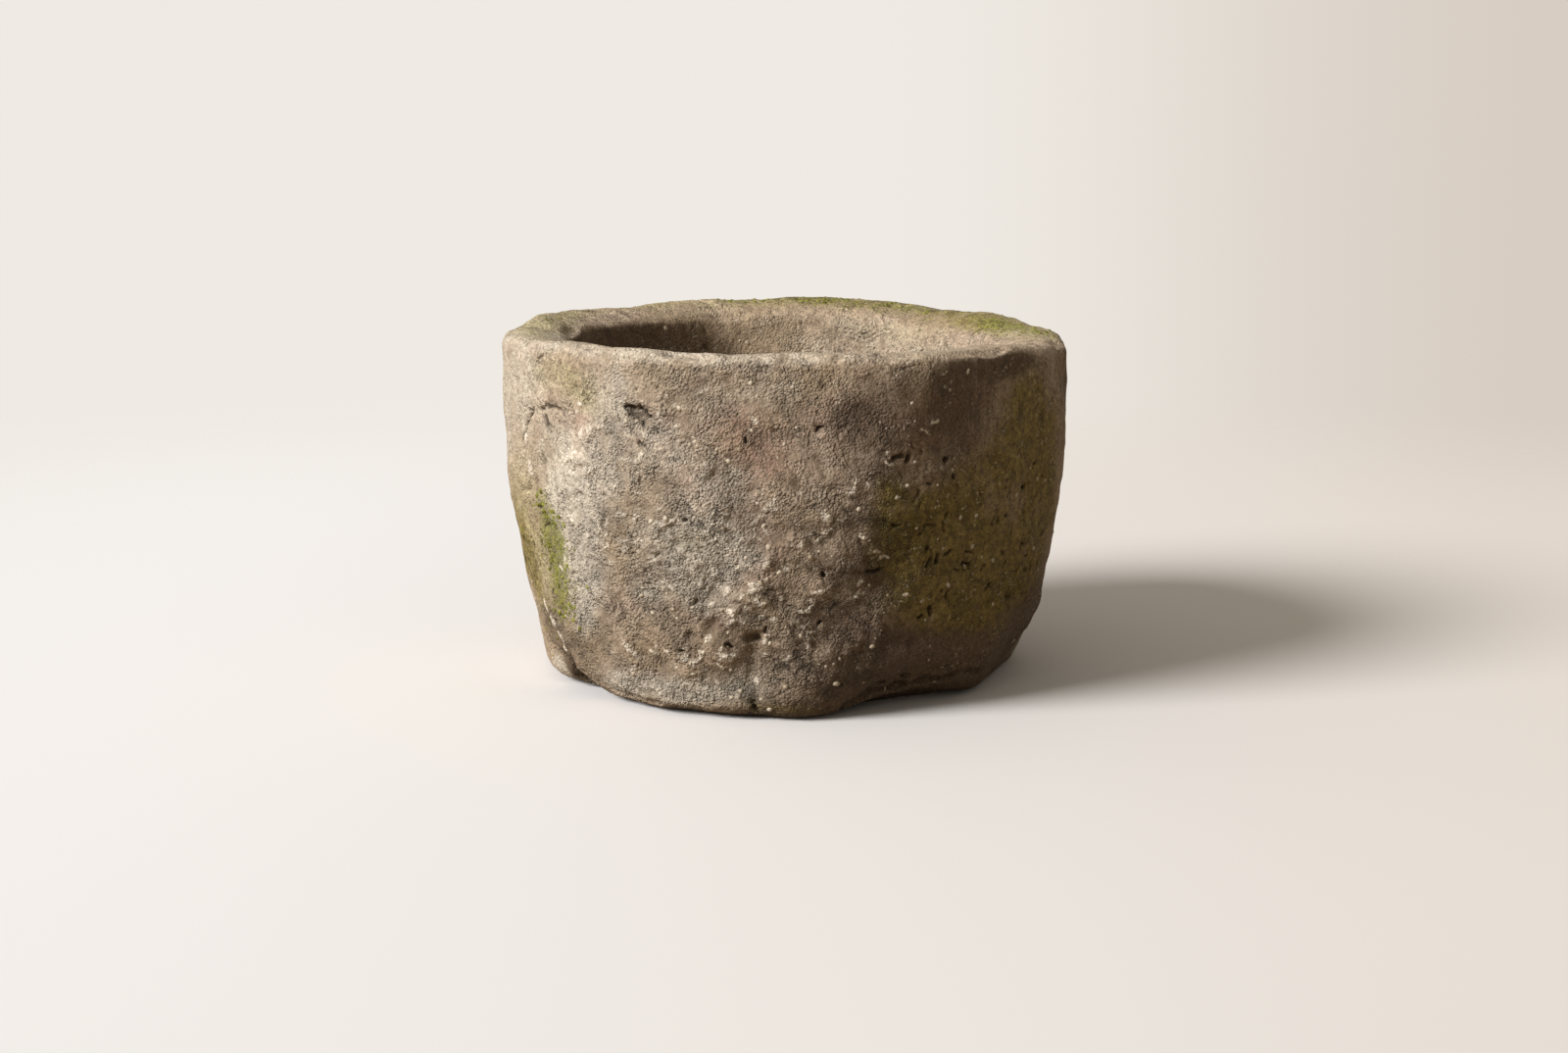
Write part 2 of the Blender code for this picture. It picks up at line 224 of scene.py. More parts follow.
# Stretches with short slots where softer seams have washed out: azimuth in degrees and height in
# millimetres, half width in degrees, half height in millimetres, and how many slots
SLOT_STRETCHES = (
    (-42, 210, 22, 100, 46), (-66, 280, 8, 80, 10), (-160, 200, 14, 120, 22),
    (-100, 260, 22, 180, 10), (20, 220, 26, 140, 30), (70, 220, 24, 150, 24),
    (130, 220, 30, 160, 34),
)
# Widths, depths as shares of the width, lengths, and slopes in degrees, one of them for each slot
SLOT_RANGES = ((0.0024, 0.0052), (0.9, 1.9), (0.003, 0.012), (90, 0, 60))
# Stretches with small bruises and pale chips, in the same order
CHIP_STRETCHES = (
    (-134, 270, 7, 90, 46), (-140, 170, 6, 60, 12), (-106, 230, 14, 70, 60),
    (-126, 300, 9, 100, 36), (-96, 130, 12, 60, 36), (-116, 60, 16, 40, 36),
    (-112, 380, 16, 50, 16), (-78, 260, 10, 120, 18), (70, 250, 60, 150, 40),
)
CHIP_RANGES = ((0.0022, 0.0060), (0.15, 0.40), (0.001, 0.013), (35, 35, -30))
SLOPE_SPREAD = 14  # slots and chips lean off these slopes by about this much

# Weathered patches of the flank, the lip and the bowl, some of them painted shade or light as their
# notes say: azimuth in degrees, then height, or on the lip the distance from the axis, in millimetres,
# half width in degrees, half length in millimetres and strength. They are soft here, and the finish
# breaks their edges up. ROUND makes a patch run all the way round.
ROUND = 1000
PATCHES = {
    "moss": {
        "flank": (
            (-148, 262, 3.4, 22, 0.55), (-146.4, 226, 4.4, 28, 0.9), (-145.2, 190, 4.8, 30, 1),
            (-145.2, 152, 4.6, 26, 0.9), (-146, 116, 5.4, 24, 0.55), (-158, 150, 8, 60, 0.28),
            (141, 110, 14, 50, 0.9), (62, 80, 12, 45, 0.8), (102, 290, 7, 60, 0.6),
        ),
        "lip": (
            (22, 330, 13, 30, 0.9), (4, 345, 9, 22, 0.6), (166, 325, 6, 18, 0.15),
            (84, 352, 15, 22, 0.75), (58, 345, 10, 24, 0.85), (104, 350, 6, 20, 0.4),
        ),
    },
    "algae": {
        "flank": (
            (-37, 395, 9, 45, 0.45), (-30, 330, 11, 70, 0.8), (-38, 200, 24, 100, 0.45),
            (-48, 322, 10, 34, 0.5), (-60, 270, 11, 40, 0.8), (-67, 222, 11, 60, 0.6),
            (-52, 190, 14, 60, 0.8), (-40, 150, 15, 65, 0.75), (-20, 210, 12, 110, 0.45),
            (-71.5, 300, 3.6, 26, 0.5), (-163, 170, 9, 80, 1), (-174, 240, 12, 140, 0.35),
            (-92, 16, 14, 12, 0.7), (-62, 130, 10, 30, 0.4), (10, 280, 12, 110, 0.5),
            (58, 140, 26, 80, 0.8), (98, 240, 16, 120, 0.5), (140, 140, 22, 80, 0.8),
            (-134, 430, 10, 34, 0.3), (-143, 340, 5, 40, 0.25), (-36, 360, 10, 70, 0.5),
        ),
        "lip": ((30, 320, 24, 60, 0.75), (80, 340, 34, 50, 0.7), (130, 345, 16, 30, 0.3)),
        "bowl": ((0, 130, ROUND, 130, 0.6), (40, 450, 30, 20, 0.4)),
    },
    "lichen": {
        "flank": (
            (-136, 432, 9, 26, 0.6), (-130, 398, 7, 26, 0.45), (-147, 420, 7, 40, 0.3),
            (-143, 330, 6, 40, 0.25), (-156, 300, 9, 60, 0.25), (-162, 190, 12, 90, 0.95),
            (-145, 190, 9, 70, 0.3), (-108, 235, 6, 30, 0.4), (-30, 250, 16, 80, 0.3),
            (90, 380, 30, 60, 0.45), (150, 260, 20, 100, 0.45), (30, 240, 22, 120, 0.35),
        ),
        "lip": (
            (172, 340, 17, 40, 0.95), (0, 340, 26, 40, 0.5), (150, 345, 14, 30, 0.5),
            (26, 330, 24, 50, 0.8), (84, 345, 28, 40, 0.8), (122, 350, 12, 30, 0.6),
            (-132, 345, 10, 30, 0.35), (-160, 345, 16, 30, 0.6),
        ),
        "bowl": ((55, 440, 26, 40, 0.4),),
    },
    "lime": {
        "flank": (
            (-172, 420, 24, 80, 0.45), (-164, 320, 14, 100, 0.4), (-152, 425, 7, 50, 0.45),
            (-138, 270, 8, 60, 0.55), (-137, 200, 8, 70, 0.7), (-138, 140, 8, 60, 0.55),
            (-128, 310, 9, 60, 0.7), (-141, 310, 8, 90, 0.6), (-124, 410, 9, 50, 0.65),
            (-112, 35, 14, 20, 0.85), (-159, 24, 4, 20, 0.9), (-98, 52, 7, 24, 0.6),
            (-104, 215, 10, 35, 0.5), (-106, 235, 10, 40, 0.85), (-103, 310, 11, 40, 0.65),
            (-102, 420, 12, 40, 0.4), (-112, 360, 8, 30, 0.45), (-103, 150, 7, 24, 0.6),
            (-118, 160, 6, 20, 0.5), (-109, 205, 14, 50, 0.45), (-130, 34, 9, 22, 0.7),
            (-90, 420, 8, 30, 0.25), (150, 400, 22, 70, 0.6), (80, 400, 30, 50, 0.4),
            (0, 470, ROUND, 12, 0.6),
        ),
        "lip": (
            (-110, 340, 70, 100, 0.6), (180, 340, 30, 100, 0.45), (60, 340, 70, 100, 0.15),
        ),
        # In the bowl the first patch is painted light on the lit inner wall at the far right
        "bowl": ((60, 420, 38, 80, 0.4), (-90, 440, 60, 60, 0.3)),
    },
    "rose": {
        "flank": (
            (-133, 370, 7, 30, 0.7), (-131, 300, 7, 40, 0.75), (-105, 300, 9, 50, 0.6),
            (-98, 222, 9, 50, 0.7), (-94, 345, 7, 40, 0.6), (-103, 140, 6, 26, 0.65),
            (-100, 395, 6, 26, 0.55), (-113, 375, 6, 30, 0.45), (-82, 400, 8, 40, 0.45),
            (-66, 380, 8, 50, 0.6), (-52, 400, 8, 40, 0.5), (-58, 90, 10, 40, 0.6),
            (-76, 130, 10, 40, 0.45), (110, 350, 16, 60, 0.5), (30, 350, 12, 60, 0.5),
            (160, 330, 14, 70, 0.5), (70, 260, 14, 50, 0.5),
        ),
    },
    # Sooty stains and runs, and painted shade: the small patches on the pit, the crack, the slot and
    # the heel's notch, and those low on the right front; a darker band runs round the foot
    "soot_and_shade": {
        "flank": (
            (-53, 448, 5, 12, 0.9), (-42, 444, 9, 16, 1), (-58, 410, 12, 60, 0.68),
            (-58, 300, 18, 120, 0.4), (-46, 60, 26, 55, 0.6), (-96, 150, 24, 150, 0.4),
            (-60, 80, 15, 36, 0.85), (-136, 70, 12, 40, 0.25), (-14, 70, 20, 70, 0.6),
            (-74, 80, 10, 60, 0.15), (-24, 300, 24, 200, 0.35), (-117.2, 394, 2.2, 14, 0.7),
            (-143.8, 364, 1.6, 10, 0.6), (-72.4, 199, 3.6, 12, 0.6), (40, 430, 20, 30, 0.35),
            (-158, 90, 9, 50, 0.6), (-146, 60, 9, 34, 0.35), (-76, 395, 8, 60, 0.6),
            (-72, 230, 8, 90, 0.45), (-52, 34, 32, 40, 1), (-64, 200, 14, 110, 0.15),
            (-110, 100, 8, 20, 0.3), (-150.4, 24, 4.4, 24, 1.6), (-30, 110, 24, 70, 0.55),
            (-86, 20, 10, 12, 0.35), (-8, 420, 12, 60, 0.6), (0, 0, ROUND, 10, 0.6),
        ),
        # In the bowl: painted shadow on the left inner wall, which the left rim shades, and a darker
        # band low down all round
        "bowl": ((146, 400, 40, 90, 1), (152, 410, 30, 70, 0.9), (0, 130, ROUND, 80, 0.6)),
    },
    # Coarse, open-grained stretches; the rest of the block is worn smoother
    "grit": {
        "flank": (
            (-108, 300, 18, 300, 1), (-90, 300, 17, 300, 1), (-124, 120, 14, 160, 1),
            (-128, 300, 8, 90, 0.45), (-74, 120, 12, 140, 0.8), (-108, 30, 26, 80, 1),
            (-76, 340, 9, 100, 0.35), (-44, 180, 24, 100, 0.3), (100, 250, 40, 250, 0.8),
            (40, 150, 30, 160, 0.7), (150, 160, 20, 160, 0.6), (0, 474, ROUND, 13, -1.2),
            (-82, 16, 13, 22, -0.9), (-140, 60, 16, 70, 0.9), (-150, 200, 12, 160, 0.35),
        ),
        "bowl": ((0, 300, ROUND, 300, 0.35),),
    },
    # Stretches where the chisel has chipped flat scallops out of the stone
    "chipped": {
        "flank": (
            (-131, 340, 8, 70, 1), (-128, 260, 8, 50, 0.8), (-106, 225, 12, 60, 0.8),
            (-92, 80, 18, 70, 0.55), (-56, 70, 16, 60, 1), (-136, 150, 10, 60, 0.6),
            (-76, 210, 7, 80, 0.7), (-84, 370, 7, 50, 0.5), (-152, 250, 12, 130, 0.4),
            (100, 300, 26, 100, 0.8), (30, 120, 20, 80, 0.7), (150, 150, 16, 100, 0.7),
        ),
        "bowl": ((0, 400, ROUND, 60, 0.4),),
    },
    # Where pale pebbles stand in the stone
    "pebbles": {
        "flank": (
            (-104, 240, 26, 200, 0.9), (-70, 180, 16, 130, 1), (-45, 200, 22, 110, 0.55),
            (-60, 390, 14, 40, 0.4), (60, 200, 60, 200, 0.25), (150, 200, 30, 200, 0.25),
        ),
        "bowl": ((60, 400, 50, 100, 0.8),),
    },
}

# The relief of the hewn surface: how wide each kind of form is, and how deep, in metres
RELIEF_SIZES = {
    "Dressing Size": 0.056, "Dressing Depth": 0.0036,
    "Flake Size": 0.040, "Flake Depth": 0.0014,
    "Chip Size": 0.030, "Chip Depth": 0.0056,
    "Cup Size": 0.022, "Cup Depth": 0.0036,
    "Grain Size": 0.0076, "Grain Depth": 0.0024,
    "Run Depth": 0.0007,
}
BED_SLOPE = math.radians(-38)  # seen from the front, the beds and the tool marks fall to the right
TOOLED_STRETCH = 0.62  # and they are drawn out: their size along the slope is divided by this
RUN_SIZE = 0.009  # width of the runs, which are drawn out downwards in the same way
RUN_STRETCH = 0.12
WANDER_SIZE = 0.03  # cups and scallops are shifted out of their rows by a noise of this size
WANDER = 0.02  # and this far
CHIP_MIDDLE = 0.3  # how deep a scallop lies at its middle, as a share of the chip depth
FLAKE_LEDGES = (0.42, 0.50, 0.57)  # where in the noise of the layers one has spalled off
FLAKE_EDGE = 0.025  # how much of that noise a ledge's edge takes
LEAST_OPEN = 0.14  # share of the grain's relief that the smoothest stone still has
DEEPEST = 0.0064  # where the relief is this deep its painted shade is at its darkest
SWELL = 0.0028  # the skin is raised by this before the relief is sunk in it, so that they balance
OPEN_SWELL = 0.0046  # and by this much more where the stone is most open
CHIPPED_SWELL = 0.0016  # and by this much where it is chipped
FOOT_RISE = 0.020  # below this height the relief and the swell fade out towards the foot
FOOT_RELIEF = 0.15  # share of the relief that is left at the foot
SHOULDER = 0.0022  # grains that would stand out of the block's outline are pressed back over this

# Sizes of the patterns in the stone's finish. Its real grains of sand are 0.5 to 1 mm across, too fine
# to show, so sand and grains are drawn three to four times as coarse, as fine as the render shows.
SAND_SIZE = 0.0036
GRAIN_SIZE = 0.0032
CLUSTER_SIZE = 0.013  # clusters of grains
SWAY_SIZE = 0.006  # the grains' edges waver with a noise of this size
SWAY = 0.003  # and this far
MOTTLE_SIZE = 0.0105  # small blotches
PATCH_SIZE = 0.036  # and larger ones
TONE_SIZE = 0.12  # broad changes of the bare stone's tone
LAYER_SIZE = 0.046  # the beds' layers
BED_STRETCH = 0.55  # the layers' sizes along their slope are divided by this
LEDGE_EDGE = 0.035  # how much of the layers' noise a ledge's edge takes
LEDGE_FOOT = 0.004  # and how far below the edge the painted shadow lies
LEDGE_SHADOW_REACH = 0.018  # and how far it reaches
HAIR_SIZE = 0.075  # about the distance between two hair cracks
STREAK_SIZE = 0.011  # width of the streaks of dirt, drawn out downwards as the runs are
STREAK_STRETCH = 0.13
# Heights of the relief that the finish gives, where it is too fine for the mesh
LEDGE_HEIGHT = 0.0022
LUMP_HEIGHT = 0.0054
GRAIN_HEIGHT = 0.0048

# Kinds of node that the trees below use often, with their settings. A value that is stored on the
# mesh is read by KEPT in a material and by KEPT_VALUE in a geometry tree.
PLUS, MINUS, TIMES, OVER, TIMES_PLUS = (
    ("ShaderNodeMath", {"operation": name})
    for name in ("ADD", "SUBTRACT", "MULTIPLY", "DIVIDE", "MULTIPLY_ADD")
)
VECTOR_MINUS, VECTOR_TIMES, VECTOR_TIMES_PLUS, SCALED = (
    ("ShaderNodeVectorMath", {"operation": name})
    for name in ("SUBTRACT", "MULTIPLY", "MULTIPLY_ADD", "SCALE")
)
RANGE, SOFT_RANGE = "ShaderNodeMapRange", ("ShaderNodeMapRange", {"interpolation_type": "SMOOTHSTEP"})
MIX = ("ShaderNodeMix", {"data_type": "RGBA"})
BUMP, NOISE, CELLS = "ShaderNodeBump", "ShaderNodeTexNoise", "ShaderNodeTexVoronoi"
KEPT, KEPT_VALUE = "ShaderNodeAttribute", ("GeometryNodeInputNamedAttribute", {"data_type": "FLOAT"})


def node(tree, kind, inputs=(), output=0, **settings):
    """Adds a node with its settings, gives its inputs a value or a link, and returns one of its
    outputs, or all where output is None. Inputs stand in the node's own order or under their names:
    a range takes the value, the low and high that it comes from and the low and high that it gives."""
    kind, fixed = kind if isinstance(kind, tuple) else (kind, {})
    made = tree.nodes.new(kind)
    for name, value in {**fixed, **settings}.items():
        setattr(made, name, value)
    for name, value in inputs.items() if isinstance(inputs, dict) else enumerate(inputs):
        if isinstance(value, bpy.types.NodeSocket):
            tree.links.new(value, made.inputs[name])
        else:
            made.inputs[name].default_value = value
    return made.outputs if output is None or not made.outputs else made.outputs[output]


def shown(name, data):
    """An object of the scene for a mesh, a lamp or a camera."""
    made = bpy.data.objects.new(name, data)
    bpy.context.scene.collection.objects.link(made)
    return made


def plain(piece):
    """Leaves a piece with its modifiers' result as a plain mesh."""
    graph = bpy.context.evaluated_depsgraph_get()
    mesh = bpy.data.meshes.new_from_object(
        piece.evaluated_get(graph), preserve_all_data_layers=True, depsgraph=graph
    )
    piece.modifiers.clear()
    piece.data = mesh
    mesh.name = piece.name


def even_skin(name, cad_node):
    """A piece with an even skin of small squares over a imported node."""
    shape = bmesh.new()
    shape.from_mesh(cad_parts[cad_node].data)
    bmesh.ops.remove_doubles(shape, verts=shape.verts, dist=SKIN_STEP / 1000)
    mesh = bpy.data.meshes.new(name)
    shape.to_mesh(mesh)
    shape.free()
    piece = shown(name, mesh)
    remesh = piece.modifiers.new("even_skin", "REMESH")
    remesh.mode = "VOXEL"
    remesh.voxel_size = SKIN_STEP
    rounding = piece.modifiers.new("rounding", "SMOOTH")
    rounding.factor = 0.5
    rounding.iterations = ROUNDING_STEPS
    plain(piece)
    return piece


def points_of(mesh):
    """A mesh's points and the ways they face, as two arrays."""
    points = np.empty(len(mesh.vertices) * 3)
    facing = np.empty(len(mesh.vertices) * 3)
    mesh.vertices.foreach_get("co", points)
    mesh.vertices.foreach_get("normal", facing)
    return points.reshape(-1, 3), facing.reshape(-1, 3)


def outwards(azimuth):
    """The level direction at an azimuth."""
    return Vector((math.cos(math.radians(azimuth)), math.sin(math.radians(azimuth)), 0))


def in_metres(marks):
    """A table of marks in millimetres as one in metres."""
    return tuple((w / 1000, d / 1000, tuple((a, h / 1000) for a, h in line)) for w, d, line in marks)


def scattered(stretches, widths, depth_shares, lengths, slopes, seed):
    """Short marks laid by chance over stretches of the flank: width, depth and a line of two points."""
    chance = np.random.default_rng(seed)
    marks = []
    for azimuth, height, half_width, half_height, count in stretches:
        spread, middle = (half_width, half_height / 1000), (azimuth, height / 1000)
        for a, h in chance.uniform(-1, 1, (count, 2)) * spread + middle:
            width, length = chance.uniform(*widths), chance.uniform(*lengths)
            slope = chance.choice(slopes) + chance.normal(0, SLOPE_SPREAD)
            rise = length * math.sin(math.radians(slope))
            swing = math.degrees(length * math.cos(math.radians(slope)) / WALL_MIDDLE)
            depth = width * chance.uniform(*depth_shares)
            marks.append((width, depth, ((a, h), (a + swing, h + rise))))
    return tuple(marks)


def placed_marks(surface):
    """Every carved mark and bruise as width, depth, a line of points on the stone and the way it is
    sunk. Bruises have a depth below zero, because they rise."""
    clear = 2 * max(solid_box[1])
    above = solid_box[1][2]
    slots = scattered(SLOT_STRETCHES, *SLOT_RANGES, seed=23)
    chips = scattered(CHIP_STRETCHES, *CHIP_RANGES, seed=31)
    marks = []
    for sign, table in ((1, in_metres(FLANK_MARKS) + slots), (-1, in_metres(FLANK_BRUISES) + chips)):
        for width, depth, line in table:
            rays = [(outwards(a) * clear + Vector((0, 0, h)), -outwards(a)) for a, h in line]
            places = [surface.ray_cast(*ray)[0] for ray in rays]
            marks.append((width, sign * depth, places, -outwards(line[0][0])))
    for width, depth, line in in_metres(BOWL_MARKS):
        places = [surface.ray_cast(Vector((0, 0, h)), outwards(a))[0] for a, h in line]
        marks.append((width, depth, places, outwards(line[0][0])))
    for width, depth, line in in_metres(LIP_MARKS):
        nearest = [surface.find_nearest(outwards(a) * r + Vector((0, 0, above))) for a, r in line]
        marks.append((width, depth, [place for place, *rest in nearest], -nearest[0][1]))
    return [(width, depth, np.array(line), np.array(way)) for width, depth, line, way in marks]


def scattered_pits(mesh):
    """Small pits at places chosen by chance all over the block."""
    chance = np.random.default_rng(11)
    points, facing = points_of(mesh)
    chosen = chance.choice(len(points), PIT_COUNT, replace=False)
    widths = chance.uniform(*PIT_WIDTHS, PIT_COUNT)
    return [
        (width, width * chance.uniform(*PIT_DEPTH_SHARES), points[[n]], -facing[n])
        for width, n in zip(widths, chosen)
    ]


def near_to(line, points, reach):
    """The numbers of the points that a box round a line holds, reach wide on every side of it."""
    low, high = line.min(axis=0) - reach, line.max(axis=0) + reach
    return np.flatnonzero(np.all((points > low) & (points < high), axis=1))


def distance_to(line, points):
    """How far each point lies from a line of straight stretches, or from its only point."""
    nearest = np.linalg.norm(points - line[0], axis=1)
    for start, end in zip(line[:-1], line[1:]):
        along = end - start
        share = np.clip((points - start) @ along / (along @ along), 0, 1)
        nearest = np.minimum(nearest, np.linalg.norm(points - start - share[:, None] * along, axis=1))
    return nearest


def shaken(points):
    """The points moved a little by a few crossing waves, so that no mark measured on them is even."""
    chance = np.random.default_rng(5)
    moved = points.copy()
    for wave_length in SHAKE_WAVES:
        for _ in range(3):
            way, sway = chance.normal(size=3), chance.normal(size=3)
            phase = points @ (way / np.linalg.norm(way)) * math.tau / wave_length
            phase = phase + chance.uniform(0, math.tau)
            moved += SHAKE_SHARE * wave_length * np.sin(phase)[:, None] * sway / np.linalg.norm(sway)
    return moved


def cut_finer(mesh, marks):
    """Splits the skin's squares round the narrow marks, so that these keep their shape."""
    points, _ = points_of(mesh)
    near = np.zeros(len(points), bool)
    for width, depth, line, way in marks:
        if width < FINE_WIDTH:
            reach = width * FINE_REACH + SKIN_STEP
            close = near_to(line, points, reach)
            near[close] |= distance_to(line, points[close]) < reach
    shape = bmesh.new()
    shape.from_mesh(mesh)
    edges = [e for e in shape.edges if near[e.verts[0].index] and near[e.verts[1].index]]
    bmesh.ops.subdivide_edges(shape, edges=edges, cuts=1, use_grid_fill=True)
    shape.to_mesh(mesh)
    shape.free()


def stored(mesh, name, values):
    """Keeps a value for each point of a mesh under a name that the materials read."""
    mesh.attributes.new(name, "FLOAT", "POINT").data.foreach_set("value", values.astype(np.float32))


def patches(table, azimuth, along):
    """How strongly a table's patches cover each point, from 0 to 1."""
    cover = np.zeros(len(azimuth))
    for facing, middle, half_width, half_length, strength in table:
        across = ((azimuth - facing + 180) % 360 - 180) / half_width
        cover += strength * np.exp(-(across**2) - ((along - middle / 1000) / (half_length / 1000)) ** 2)
    return np.clip(cover, 0, 1)


def keep_patches(mesh):
    """Keeps for each point how strongly the weathered patches of its stretch cover it."""
    points, facing = points_of(mesh)
    azimuth = np.degrees(np.arctan2(points[:, 1], points[:, 0]))
    radius = np.hypot(points[:, 0], points[:, 1])
    height = points[:, 2]
    outside = np.clip(np.maximum(radius - WALL_MIDDLE, BOWL_FOOT - height) / WALL_BLEND + 0.5, 0, 1)
    lip = np.clip((height - LIP_FOOT) / LIP_BLEND, 0, 1)
    lip = lip * np.clip((facing[:, 2] - LIP_LEAST_LEVEL) / LIP_LEVEL_BLEND, 0, 1)
    share = {"flank": outside * (1 - lip), "lip": lip, "bowl": (1 - outside) * (1 - lip)}
    along = {"flank": height, "lip": radius, "bowl": height}
    for name, stretches in PATCHES.items():
        cover = sum(patches(table, azimuth, along[at]) * share[at] for at, table in stretches.items())
        stored(mesh, name, np.clip(cover, 0, 1))


def raised(mesh):
    """Raises the skin by the mean depth of the relief to come, so that the solid stays its mean."""
    points, facing = points_of(mesh)
    cover = {name: np.empty(len(points)) for name in ("grit", "chipped")}
    for name, values in cover.items():
        mesh.attributes[name].data.foreach_get("value", values)
    swell = SWELL + OPEN_SWELL * cover["grit"] + CHIPPED_SWELL * cover["chipped"]
    swell *= np.clip(points[:, 2] / FOOT_RISE, 0, 1)
    mesh.vertices.foreach_set("co", (points + facing * swell[:, None]).ravel())


def geometry_tree(name, sizes):
    """A new tree that takes a geometry and named sizes and gives a geometry, with its inputs."""
    tree = bpy.data.node_groups.new(name, "GeometryNodeTree")
    tree.interface.new_socket("Geometry", in_out="OUTPUT", socket_type="NodeSocketGeometry")
    tree.interface.new_socket("Geometry", in_out="INPUT", socket_type="NodeSocketGeometry")
    for size in sizes:
        tree.interface.new_socket(size, in_out="INPUT", socket_type="NodeSocketFloat")
    return tree, node(tree, "NodeGroupInput", output=None)


def relief_tree(material):
    """The relief of the hewn surface, all sunk inwards: broad dressing, chisel cups, loosened grains
    where the stone is open and shallow runs down its smoother sides. Keeps how deep each point lies."""
    tree, inputs = geometry_tree("hewn_relief", RELIEF_SIZES)
    place = node(tree, "GeometryNodeInputPosition")
    facing = node(tree, "GeometryNodeInputNormal")
    grit = node(tree, KEPT_VALUE, {"Name": "grit"})
    chipped = node(tree, KEPT_VALUE, {"Name": "chipped"})
    height = node(tree, "ShaderNodeSeparateXYZ", [place], "Z")
    sloping = {"Vector": place, "Angle": BED_SLOPE}
    sloping = node(tree, "ShaderNodeVectorRotate", sloping, rotation_type="Y_AXIS")
    drawn_out = node(tree, VECTOR_TIMES, [sloping, (TOOLED_STRETCH, 1, 1)])
    upright = node(tree, VECTOR_TIMES, [place, (1, 1, RUN_STRETCH)])
    wander = node(tree, NOISE, {"Vector": place, "Scale": 1 / WANDER_SIZE}, "Color")
    wander = node(tree, VECTOR_TIMES_PLUS, [wander, (WANDER,) * 3, drawn_out])

    # Broad hollows of the dressing
    scale = node(tree, OVER, [1, inputs["Dressing Size"]])
    dressing = node(tree, NOISE, {"Vector": drawn_out, "Scale": scale, "Detail": 2})
    dressing = node(tree, RANGE, [dressing, 0.3, 0.7])
    dressing = node(tree, TIMES, [dressing, inputs["Dressing Depth"]])

    # Cups that the point chisel left
    scale = node(tree, OVER, [1, inputs["Cup Size"]])
    cups = node(tree, CELLS, {"Vector": wander, "Scale": scale}, feature="SMOOTH_F1")
    cups = node(tree, MINUS, [1, cups], use_clamp=True)
    cups = node(tree, TIMES, [cups, inputs["Cup Depth"]])

    # Loosened grains
    scale = node(tree, OVER, [1, inputs["Grain Size"]])
    grains = node(tree, NOISE, {"Vector": drawn_out, "Scale": scale, "Detail": 1, "Roughness": 0.6})
    grains = node(tree, RANGE, [grains, 0.28, 0.72])
    grains = node(tree, TIMES, [grains, inputs["Grain Depth"]])

    # Layers that have spalled off in flakes, with a ledge at the edge of each
    scale = node(tree, OVER, [1, inputs["Flake Size"]])
    layers = node(tree, NOISE, {"Vector": drawn_out, "Scale": scale, "Detail": 3})
    flakes = 0
    for ledge in FLAKE_LEDGES:
        step = node(tree, SOFT_RANGE, [layers, ledge, ledge + FLAKE_EDGE])
        flakes = node(tree, PLUS, [flakes, step])
    flakes = node(tree, TIMES, [flakes, inputs["Flake Depth"]])

    # Scallops: every cell is a flat that leans its own way
    scale = node(tree, OVER, [1, inputs["Chip Size"]])
    cells = node(tree, CELLS, {"Vector": wander, "Scale": scale}, None)
    lean = node(tree, VECTOR_MINUS, [cells["Color"], (0.5,) * 3])
    within = node(tree, VECTOR_MINUS, [wander, cells["Position"]])
    chips = node(tree, "ShaderNodeVectorMath", [lean, within], "Value", operation="DOT_PRODUCT")
    chips = node(tree, TIMES, [chips, scale])
    chips = node(tree, PLUS, [chips, CHIP_MIDDLE])
    chips = node(tree, TIMES, [chips, chipped])
    chips = node(tree, TIMES, [chips, inputs["Chip Depth"]])

    # Runs that rain has worn down the smooth stone
    runs = node(tree, NOISE, {"Vector": upright, "Scale": 1 / RUN_SIZE, "Detail": 2})
    runs = node(tree, RANGE, [runs, 0.3, 0.7])
    runs = node(tree, TIMES, [runs, inputs["Run Depth"]])
    worn_stone = node(tree, MINUS, [1, grit])
    runs = node(tree, TIMES, [runs, worn_stone])

    open_stone = node(tree, RANGE, [grit, 0, 1, LEAST_OPEN])
    worked = node(tree, PLUS, [cups, grains])
    worked = node(tree, PLUS, [worked, flakes])
    worked = node(tree, TIMES, [worked, open_stone])
    fine = node(tree, PLUS, [worked, runs])
    depth = node(tree, PLUS, [dressing, fine])
    depth = node(tree, PLUS, [depth, chips])
    sunk = node(tree, RANGE, [height, 0, FOOT_RISE, -FOOT_RELIEF, -1])
    depth = node(tree, TIMES, [depth, sunk])
    offset = node(tree, SCALED, {0: facing, "Scale": depth})
    # How deep the fine relief lies, which the material turns into painted shade
    low = node(tree, OVER, [fine, DEEPEST])
    shape = {"Geometry": inputs["Geometry"], "Name": "low", "Value": low}
    shape = node(tree, "GeometryNodeStoreNamedAttribute", shape, data_type="FLOAT")
    shape = node(tree, "GeometryNodeSetPosition", {"Geometry": shape, "Offset": offset})
    shape = node(tree, "GeometryNodeSetShadeSmooth", [shape])
    shape = node(tree, "GeometryNodeRealizeInstances", {"Geometry": shape})
    shape = node(tree, "GeometryNodeSetMaterial", {"Geometry": shape, "Material": material})
    node(tree, "NodeGroupOutput", [shape])
    return tree


def run_tree(piece, tree, values):
    """Runs a geometry tree on a piece with its named inputs set, and leaves a plain mesh."""
    modifier = piece.modifiers.new(tree.name, "NODES")
    modifier.node_group = tree
    for socket in tree.interface.items_tree:
        if socket.in_out == "INPUT" and socket.name in values:
            modifier[socket.identifier] = values[socket.name]
    plain(piece)


